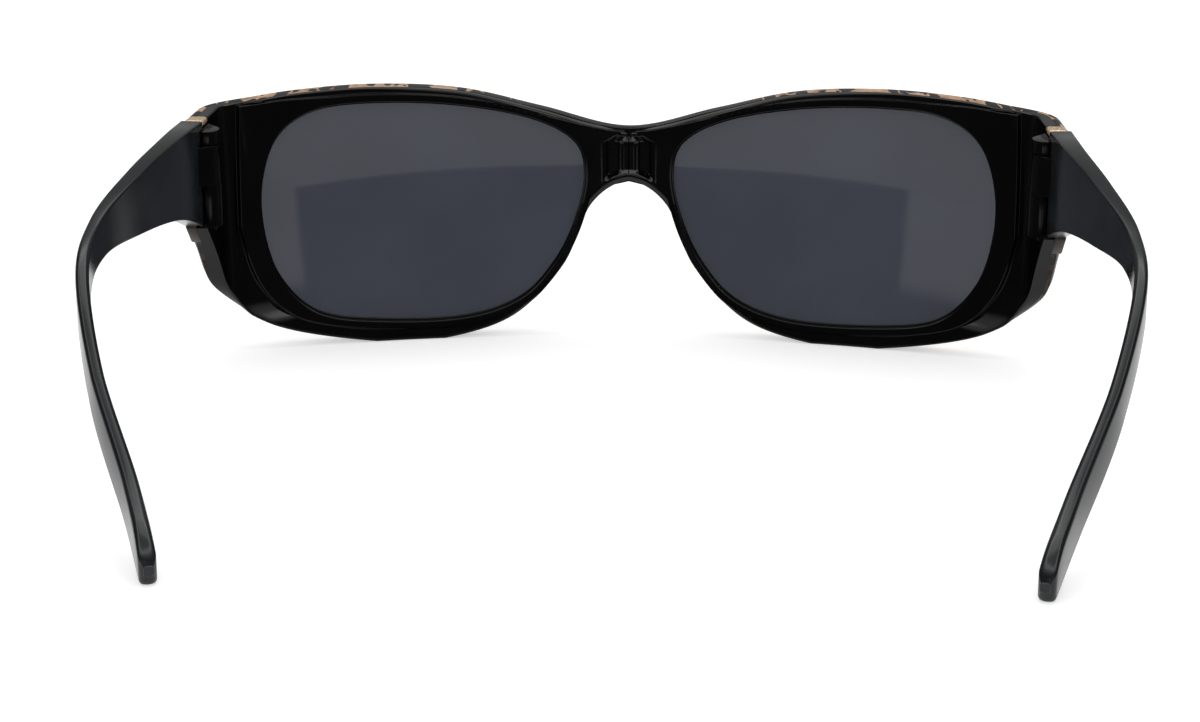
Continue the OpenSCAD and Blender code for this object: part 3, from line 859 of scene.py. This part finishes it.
def fill(tree, made, inputs):
    """Gives a node's inputs their plain values or their links."""
    for key, value in inputs.items():
        if isinstance(value, bpy.types.NodeSocket):
            tree.links.new(value, made.inputs[key])
        else:
            made.inputs[key].default_value = value


def node(tree, kind, inputs, **settings):
    made = tree.nodes.new(kind)
    for key, value in settings.items():
        setattr(made, key, value)
    fill(tree, made, inputs)
    return made


def coords(tree):
    return tree.nodes.new("ShaderNodeTexCoord").outputs["Object"]


def noise(tree, at, scale, detail, output="Fac"):
    made = node(tree, "ShaderNodeTexNoise", {"Vector": at, "Scale": scale, "Detail": detail})
    return made.outputs[output]


def ramp(tree, source, stops):
    """Colours or greys at stops along a value."""
    made = tree.nodes.new("ShaderNodeValToRGB")
    tree.links.new(source, made.inputs[0])
    elements = made.color_ramp.elements
    while len(elements) < len(stops):
        elements.new(0.5)
    for element, (stop, value) in zip(elements, stops):
        element.position = stop
        element.color = (*value, 1) if isinstance(value, tuple) else (value, value, value, 1)
    return made.outputs["Color"]


def math_node(tree, operation, a, b=0.0, **settings):
    return node(tree, "ShaderNodeMath", {0: a, 1: b}, operation=operation, **settings).outputs["Value"]


def vector_math(tree, operation, a, b=(0, 0, 0)):
    return node(tree, "ShaderNodeVectorMath", {0: a, 1: b}, operation=operation).outputs["Vector"]


def map_range(tree, value, start, end, low=0.0, high=1.0, **settings):
    made = node(tree, "ShaderNodeMapRange", {"Value": value, "From Min": start, "From Max": end,
                                             "To Min": low, "To Max": high}, **settings)
    return made.outputs["Result"]


def split_xyz(tree, vector):
    return node(tree, "ShaderNodeSeparateXYZ", {"Vector": vector}).outputs


def mix_colour(tree, share, a, b, blend_type="MIX"):
    made = node(tree, "ShaderNodeMix", {"Factor": share, "A": a, "B": b}, data_type="RGBA",
                blend_type=blend_type)
    return made.outputs[2]


def stretched(tree, at, scale):
    return node(tree, "ShaderNodeMapping", {"Vector": at, "Scale": scale}).outputs["Vector"]


def times(colour, factor):
    return tuple(v * factor for v in colour)


def leaning_normal(tree, normal, lean):
    """Normal of a front that leans a little, which the reflections in the photograph show."""
    made = node(tree, "ShaderNodeVectorRotate", {"Vector": normal, "Angle": lean}, rotation_type="X_AXIS")
    return made.outputs["Vector"]


def raised_normal(tree, normal, lean):
    """Normal tilted upwards on every side, as moulded walls with draft stand."""
    return vector_math(tree, "NORMALIZE", vector_math(tree, "ADD", normal, (0, 0, math.tan(lean))))


def black_plastic(name, base, rough, lean, specular):
    """Glossy moulded plastic: near black, with faint flow in its gloss and fine handling marks."""
    mat, tree, bsdf = material(name)
    at = coords(tree)
    flow = noise(tree, at, scale=90.0, detail=3.0)
    waves = noise(tree, at, scale=160.0, detail=1.0)
    fine = noise(tree, at, scale=1400.0, detail=2.0)
    bump = node(tree, "ShaderNodeBump", {"Height": waves, "Strength": 0.05, "Distance": 0.0004})
    skin = node(tree, "ShaderNodeBump", {"Height": fine, "Strength": 0.03, "Distance": 0.00005,
                                         "Normal": bump.outputs["Normal"]}).outputs["Normal"]
    fill(tree, bsdf, {
        "Base Color": ramp(tree, flow, [(0.35, base), (0.7, times(base, 1.5))]),
        "Roughness": ramp(tree, flow, [(0.3, rough), (0.75, rough * 1.8)]),
        "Normal": raised_normal(tree, skin, lean) if lean else skin,
        "IOR": 1.5, "Specular IOR Level": specular})
    return mat


def animal_print():
    """Brown print with irregular black blotches edged in red-brown, darker low on the wings: partly the
    frame's own black there, partly painted shade.
    """
    tans = (0.38, 0.21, 0.12), (0.6, 0.37, 0.22), (0.76, 0.55, 0.38)
    red_brown, black, black_and_shade = (0.16, 0.045, 0.02, 1), (0.008, 0.007, 0.007, 1), (0.016, 0.01, 0.008, 1)
    mat, tree, bsdf = material("print_brown")
    at = coords(tree)
    wander = noise(tree, at, scale=260.0, detail=2.0, output="Color")
    warp = vector_math(tree, "MULTIPLY", wander, (0.0026, 0.0026, 0.0026))
    warped = vector_math(tree, "ADD", stretched(tree, at, (1.0, 0.35, 1.0)), warp)
    cell = {"Vector": warped, "Scale": 400.0, "Randomness": 0.9}
    cells = node(tree, "ShaderNodeTexVoronoi", cell, feature="F1").outputs
    edges = node(tree, "ShaderNodeTexVoronoi", cell, feature="DISTANCE_TO_EDGE").outputs
    pick = node(tree, "ShaderNodeSeparateColor", {"Color": cells["Color"]}).outputs["Red"]
    where = split_xyz(tree, at)
    wide = math_node(tree, "ABSOLUTE", where["X"])
    more_in_centre = map_range(tree, wide, *PRINT_CENTRE_X, 0.0, 0.7)
    size = math_node(tree, "ADD", map_range(tree, pick, 0.0, 1.0, 0.35, 0.65), more_in_centre)
    inside = math_node(tree, "SUBTRACT", size, cells["Distance"])
    blotch = ramp(tree, inside, [(0.0, 0), (0.05, 1)])
    rim = ramp(tree, inside, [(0.0, 0), (0.02, 1), (0.12, 0)])
    tan_noise = noise(tree, at, scale=400.0, detail=4.0)
    ground = ramp(tree, tan_noise, list(zip((0.3, 0.5, 0.72), tans)))
    seams = ramp(tree, edges["Distance"], [(0.0, 0.55), (0.05, 1)])
    shaded = mix_colour(tree, 0.5, ground, seams, "MULTIPLY")
    spotted = mix_colour(tree, blotch, mix_colour(tree, rim, shaded, red_brown), black)
    # Low on the wings the print turns near black: partly the frame's own black, partly painted shade of
    # the shadowed floor it reflects
    low = map_range(tree, where["Z"], *PRINT_BLACK_AND_SHADE_Z)
    low_on_wing = math_node(tree, "MULTIPLY", map_range(tree, wide, *PRINT_BLACK_AND_SHADE_X), low)
    dark = math_node(tree, "MULTIPLY", low_on_wing, 0.93)
    fill(tree, bsdf, {
        "Base Color": mix_colour(tree, dark, spotted, black_and_shade),
        "Roughness": ramp(tree, tan_noise, [(0.3, 0.12), (0.7, 0.2)]),
        "Specular IOR Level": 0.08})
    return mat


def gold_trim():
    """Brushed pale gold, with painted shade at its lower end that makes it dark and dull there."""
    mat, tree, bsdf = material("trim_gold")
    at = coords(tree)
    brush = noise(tree, stretched(tree, at, (2500.0, 2500.0, 120.0)), scale=1.0, detail=3.0)
    tone = ramp(tree, brush, [(0.3, (0.78, 0.55, 0.34)), (0.7, (0.94, 0.74, 0.52))])
    # Painted shade: the lower end turns dark and loses its metal, standing for the shadowed floor it
    # reflects
    low = map_range(tree, split_xyz(tree, at)["Z"], *GOLD_SHADE_Z)
    fill(tree, bsdf, {
        "Base Color": mix_colour(tree, low, tone, (0.02, 0.014, 0.01, 1)),
        "Roughness": ramp(tree, brush, [(0.3, 0.16), (0.7, 0.3)]),
        "Metallic": map_range(tree, low, 0.0, 1.0, 0.6, 0.0),
        "Specular IOR Level": 0.15})
    return mat


def screw_steel():
    mat, tree, bsdf = material("screw_steel")
    turned = noise(tree, coords(tree), scale=2200.0, detail=2.0)
    fill(tree, bsdf, {
        "Base Color": ramp(tree, turned, [(0.3, (0.55, 0.56, 0.58)), (0.7, (0.75, 0.76, 0.78))]),
        "Roughness": ramp(tree, turned, [(0.3, 0.2), (0.7, 0.35)]),
        "Metallic": 1.0})
    return mat


def lens_tint(name, base, alpha, specular, rough):
    """Grey tint that lets a little through, with a faint haze in its colour and gloss."""
    mat, tree, bsdf = material(name)
    haze = noise(tree, coords(tree), scale=60.0, detail=2.0)
    shape = tree.nodes.new("ShaderNodeNewGeometry").outputs["Normal"]
    fill(tree, bsdf, {
        "Base Color": ramp(tree, haze, [(0.35, base), (0.7, times(base, 1.12))]),
        "Roughness": ramp(tree, haze, [(0.3, rough), (0.75, rough * 2)]),
        "Normal": leaning_normal(tree, shape, LENS_LEAN),
        "Alpha": alpha, "Specular IOR Level": specular})
    mat.surface_render_method = "BLENDED"
    return mat


BLACK = black_plastic("frame_black", FRAME_COLOUR, rough=0.07, lean=FRAME_LEAN, specular=0.32)
TEMPLE_BLACK = black_plastic("temple_black", TEMPLE_COLOUR, rough=0.15, lean=0, specular=0.35)
PRINT = animal_print()
GOLD = gold_trim()
STEEL = screw_steel()
LENS_SKIN = lens_tint("lens_grey", LENS_COLOUR, alpha=0.85, specular=0.33, rough=0.02)
LENS_FILM = lens_tint("lens_film", LENS_COLOUR, alpha=0.94, specular=0.0, rough=0.4)


def wear(obj, mat):
    obj.data.materials.clear()
    obj.data.materials.append(mat)


def finish_piece(obj, body, mat, replaced, sharp_degrees=32):
    """Gives a piece its material, its smooth shading and its body, and hides the CAD node that it stands
    for.
    """
    wear(obj, mat)
    shade(obj, sharp_degrees)
    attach(obj, body)
    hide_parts(replaced)


def build_front():
    """Black layer with slots for the trims' flanges and room for the hinges, knuckles and print."""
    shell = front_band("frame_shell", frame_section)
    back, top = -TRIM_W - GLUE_GAP, SEAM_Z - FLANGE_T - GLUE_GAP
    corners = [(SLOT_IN, back), (SLOT_OUT, back), (SLOT_OUT, back + SLOT_L), (SLOT_IN, back + SLOT_L)]
    slot = prism("tool", corners, top, top + SLOT_H)
    other_slot = flipped(slot, "tool")
    cut(shell, slot)
    cut(shell, other_slot)
    for side in (1, -1):
        clear_hinge(shell, side, (KNUCKLE_Z1 - STACK_GAP, KNUCKLE_Z2 + STACK_GAP))
    finish_piece(shell, "front", BLACK, "front_frame")
    levels = {"low": (KNUCKLE_Z0, KNUCKLE_Z1 - STACK_GAP), "top": (KNUCKLE_Z2 + STACK_GAP, KNUCKLE_Z3)}
    for level, (z0, z1) in levels.items():
        left = knuckle(f"knuckle_left_{level}", z0, z1, -1)
        right = flipped(left, f"knuckle_right_{level}")
        for piece in (left, right):
            finish_piece(piece, "front", BLACK, "front_frame")
    layer = front_band("print_shell", print_section)
    finish_piece(layer, "front", PRINT, "front_print")


def build_lenses():
    """Outer and inner sheets; the films between them are the CAD nodes."""
    n0 = GROOVE_N0 + LENS_PLAY
    sheets = {"outer": (n0, n0 + LENS_OUTER_T), "inner": (n0 + LENS_INNER_N, n0 + LENS_T)}
    for part, (front, back) in sheets.items():
        left = lens_sheet(f"lens_{part}_left_sheet", front, back)
        right = flipped(left, f"lens_{part}_right_sheet")
        for side, piece in (("left", left), ("right", right)):
            node_name = f"lens_{side}_{part}"
            finish_piece(piece, "front", LENS_SKIN, node_name, sharp_degrees=50)


def build_temples():
    shell = temple_shell("temple_arm_left")
    clear_hinge(shell, 1, (WING_Z - 2, KNUCKLE_Z1), (KNUCKLE_Z2, KNUCKLE_Z3 + STACK_GAP))
    barrel = knuckle("temple_knuckle_left", KNUCKLE_Z1, KNUCKLE_Z2, 1)
    other = flipped(shell, "temple_arm_right")
    other_barrel = flipped(barrel, "temple_knuckle_right")
    for arm, hinge, temple in ((shell, barrel, "temple_left"), (other, other_barrel, "temple_right")):
        finish_piece(arm, temple, TEMPLE_BLACK, temple)
        finish_piece(hinge, temple, BLACK, temple)


def build_trims():
    left = trim_shell("trim_cap_left")
    finish_piece(left, "front", GOLD, "trim_left")
    finish_piece(flipped(left, "trim_cap_right"), "front", GOLD, "trim_right")


def dress_nodes():
    """Materials of the CAD nodes that stay: the screws and the polarizing films."""
    for name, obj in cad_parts.items():
        if "screw" in name:
            wear(obj, STEEL)
        elif name.endswith("film"):
            wear(obj, LENS_FILM)


# Floor, light and camera
FLOOR_Z = -0.00002
FLOOR_HALF = 3.0
FLOOR_GLOW = 0.5
LAMP_AT = (0.0, -0.15, 0.9)
LAMP_SIZE = (0.7, 0.5)
LAMP_POWER = 1.6

# Light tent: pairs are where an edge starts and ends, as the z, x or y of a direction
RAISED_Z = (-0.02, 0.0)
ROOF_Z = (0.78, 0.64)
PANEL_Z = (0.19, 0.15)
SHELF_LOW_Z = (0.38, 0.42)
SHELF_TOP_Z = (0.56, 0.52)
STRIP_LOW_Z = (0.80, 0.82)
STRIP_TOP_Z = (0.90, 0.88)
SIDE_X = (0.5, 0.62)
BEHIND_Y = (-0.05, 0.05)

# Fans of directions behind the camera: centre, half width and soft edge, as shares of y
PANEL_FAN = (0.05, 1.2, 0.02)
OPENING_FAN = (-0.015, 0.535, 0.01)
COLUMN_FAN = (0.04, 0.06, 0.03)

# Tones of the tent, and of the plain light for everything but reflections
ROOF_TONE = 0.8
WALL_TONE = 0.27
SIDE_TONE = 0.08
DARK_TONE = 0.05
PANEL_TONE = 1.1
SHELF_TONE = 0.7
STRIP_TONE = 3.0
PLAIN_TONE = 0.7
WHITE = 1.0

# Camera fitted to the photograph
CAMERA_X = -19.478
CAMERA_Y = 502.392
CAMERA_Z = 158.397
CAMERA_YAW = -0.049321
CAMERA_PITCH = 0.316852
FOCAL_PX = 2900.0
PHOTO_PX = 1200
SENSOR = 36


def build_floor():
    h = FLOOR_HALF
    corners = [(-h, -h, FLOOR_Z), (h, -h, FLOOR_Z), (h, h, FLOOR_Z), (-h, h, FLOOR_Z)]
    floor = new_mesh("floor", corners, [(0, 1, 2, 3)])
    mat, tree, bsdf = material("floor_paper")
    grain = noise(tree, coords(tree), scale=900.0, detail=3.0)
    path = tree.nodes.new("ShaderNodeLightPath").outputs
    seen = math_node(tree, "ADD", path["Is Camera Ray"], path["Is Glossy Ray"])
    seen = math_node(tree, "MAXIMUM", seen, path["Is Transmission Ray"], use_clamp=True)
    fill(tree, bsdf, {
        "Base Color": ramp(tree, grain, [(0.3, 0.8), (0.7, 0.82)]),
        "Roughness": 0.9, "Specular IOR Level": 0.0, "Emission Color": (1, 1, 1, 1),
        "Emission Strength": math_node(tree, "MULTIPLY", seen, FLOOR_GLOW)})
    floor.data.materials.append(mat)


def build_world():
    """Light tent that only reflections see, and plain light for everything else.

    Ahead of the camera it is a grey wall with darker sides. Behind the camera it is dark, with a low
    white panel and, in an opening round the camera, a lit shelf on both sides of a dark column. Its
    roof is white, with one bright strip.
    """
    world = bpy.data.worlds.new("studio")
    bpy.context.scene.world = world
    world.use_nodes = True
    tree = world.node_tree
    direction = split_xyz(tree, tree.nodes.new("ShaderNodeTexCoord").outputs["Generated"])
    x, y, z = direction["X"], direction["Y"], direction["Z"]

    def eased(value, start, end):
        return map_range(tree, value, start, end, interpolation_type="SMOOTHSTEP")

    def both(a, b):
        return math_node(tree, "MULTIPLY", a, b)

    def grey_mix(share, a, b):
        made = node(tree, "ShaderNodeMix", {"Factor": share, "A": a, "B": b}, data_type="FLOAT")
        return made.outputs[0]

    def within(centre, half, soft_edge):
        off = math_node(tree, "ABSOLUTE", math_node(tree, "SUBTRACT", x, both(y, centre)))
        return eased(math_node(tree, "SUBTRACT", both(y, half), off), -soft_edge, soft_edge)

    raised, below_roof = eased(z, *RAISED_Z), eased(z, *ROOF_Z)
    wall = both(raised, below_roof)
    opening = within(*OPENING_FAN)
    shelf = both(eased(z, *SHELF_LOW_Z), eased(z, *SHELF_TOP_Z))
    tone = grey_mix(eased(math_node(tree, "ABSOLUTE", x), *SIDE_X), WALL_TONE, SIDE_TONE)
    tone = grey_mix(both(eased(y, *BEHIND_Y), raised), tone, DARK_TONE)
    tone = grey_mix(below_roof, ROOF_TONE, tone)
    for share, colour in (
            (both(within(*PANEL_FAN), both(raised, eased(z, *PANEL_Z))), PANEL_TONE),
            (both(opening, wall), DARK_TONE),
            (both(opening, shelf), SHELF_TONE),
            (both(within(*COLUMN_FAN), wall), DARK_TONE),
            (both(eased(z, *STRIP_LOW_Z), eased(z, *STRIP_TOP_Z)), STRIP_TONE)):
        tone = grey_mix(share, tone, colour)
    path = tree.nodes.new("ShaderNodeLightPath").outputs
    clear = math_node(tree, "MAXIMUM", path["Is Camera Ray"], path["Is Transmission Ray"])
    tone = grey_mix(path["Is Glossy Ray"], grey_mix(clear, PLAIN_TONE, WHITE), tone)
    fill(tree, tree.nodes["Background"], {"Color": tone, "Strength": 1.0})


def build_lamp():
    """Large lamp above, aimed at the middle of the object."""
    data = bpy.data.lights.new("top", "AREA")
    data.shape = "RECTANGLE"
    data.size, data.size_y = LAMP_SIZE
    data.energy = LAMP_POWER
    lamp = bpy.data.objects.new("top", data)
    lamp.location = LAMP_AT
    aim = Vector((0, 0, 0)) - Vector(LAMP_AT)
    lamp.rotation_euler = aim.to_track_quat("-Z", "Y").to_euler()
    bpy.context.scene.collection.objects.link(lamp)


def build_camera():
    place_at = Vector(to_metres(CAMERA_X, CAMERA_Y, CAMERA_Z))
    yaw, pitch = CAMERA_YAW, CAMERA_PITCH
    ahead = Vector((-math.sin(yaw) * math.cos(pitch), -math.cos(yaw) * math.cos(pitch), -math.sin(pitch)))
    right = ahead.cross(Vector((0, 0, 1))).normalized()
    up = right.cross(ahead)
    data = bpy.data.cameras.new("camera")
    data.sensor_width = SENSOR
    data.lens = SENSOR * FOCAL_PX / PHOTO_PX
    data.clip_start = 0.01
    camera = bpy.data.objects.new("camera", data)
    camera.matrix_world = Matrix((
        (right.x, up.x, -ahead.x, place_at.x), (right.y, up.y, -ahead.y, place_at.y),
        (right.z, up.z, -ahead.z, place_at.z), (0, 0, 0, 1)))
    bpy.context.scene.collection.objects.link(camera)
    bpy.context.scene.camera = camera


build_camera()
build_world()
build_floor()
build_lamp()
build_front()
build_lenses()
build_temples()
build_trims()
dress_nodes()
bpy.context.scene.view_settings.view_transform = "Standard"
